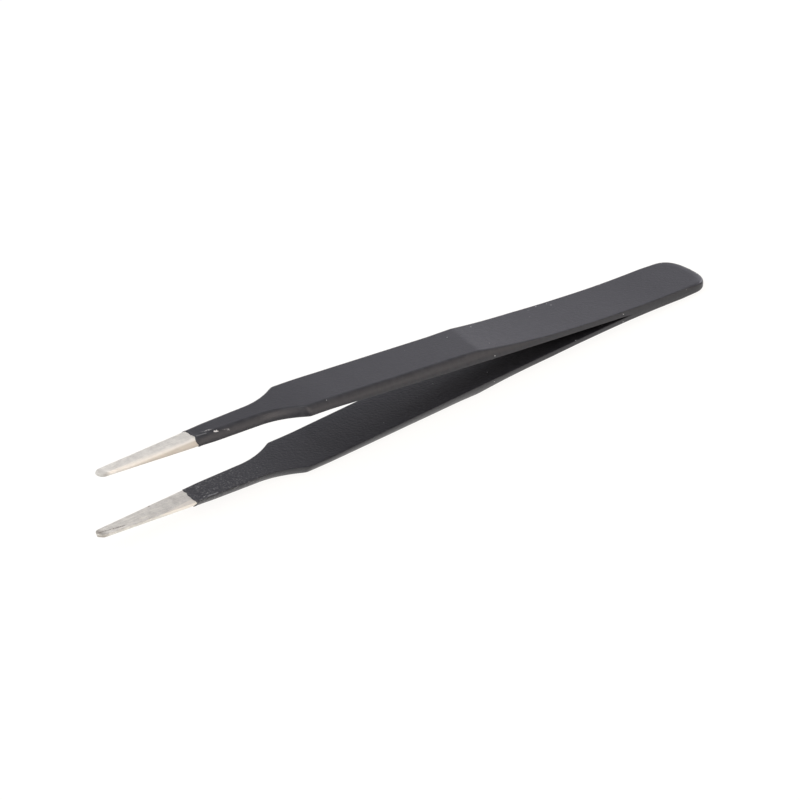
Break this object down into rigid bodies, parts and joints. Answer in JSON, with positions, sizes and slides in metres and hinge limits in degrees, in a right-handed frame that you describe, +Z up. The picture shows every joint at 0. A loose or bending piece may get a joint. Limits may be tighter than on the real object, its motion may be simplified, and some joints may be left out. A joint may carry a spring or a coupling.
{
  "type": "precision tweezers",
  "caption": "Slim spring tweezers with flat rounded bare steel tips, a black coated grip and two arms welded together at the rounded butt.",
  "frame": {"origin": "on the surface that the tweezers lie on, midway between the butt and the lower tip, in the middle of their width", "axes": "+Z up, +X along the tweezers towards the butt so that the tips point to -X, +Y across their width; the lower arm lies on its outer grip face and the mid-plane between the arms rises 3.4 degrees towards the tips"},
  "size_m": [0.1201, 0.0102, 0.0133],
  "materials": {
    "coat": "satin black dipped epoxy film with a fine pebble and a soft ragged front edge",
    "blade_steel": "stainless steel, ground lengthwise to a warm satin",
    "weld_steel": "dull fused weld metal"
  },
  "bodies": {
    "heel": {"heel_coat": "coat", "upper_blade_heel": "blade_steel", "lower_blade_heel": "blade_steel", "weld_nugget_rear": "weld_steel", "weld_nugget_front": "weld_steel"},
    "upper_arm": {"upper_blade": "blade_steel", "upper_coat": "coat"},
    "lower_arm": {"lower_blade": "blade_steel", "lower_coat": "coat"}
  },
  "joints": [
    {"name": "upper_arm_flex", "type": "hinge", "parent": "heel", "child": "upper_arm", "pos_m": [0.0396, 0, 0.00273], "axis": [0, -1, 0], "range_deg": [0, 2.76], "stiffness_Nm_per_rad": 1.2},
    {"name": "lower_arm_flex", "type": "hinge", "parent": "heel", "child": "lower_arm", "pos_m": [0.03953, 0, 0.00143], "axis": [0, 1, 0], "range_deg": [0, 2.76], "stiffness_Nm_per_rad": 1.2}
  ],
  "couplings": [
    {"joint": "lower_arm_flex", "follows": "upper_arm_flex", "ratio": 1}
  ]
}
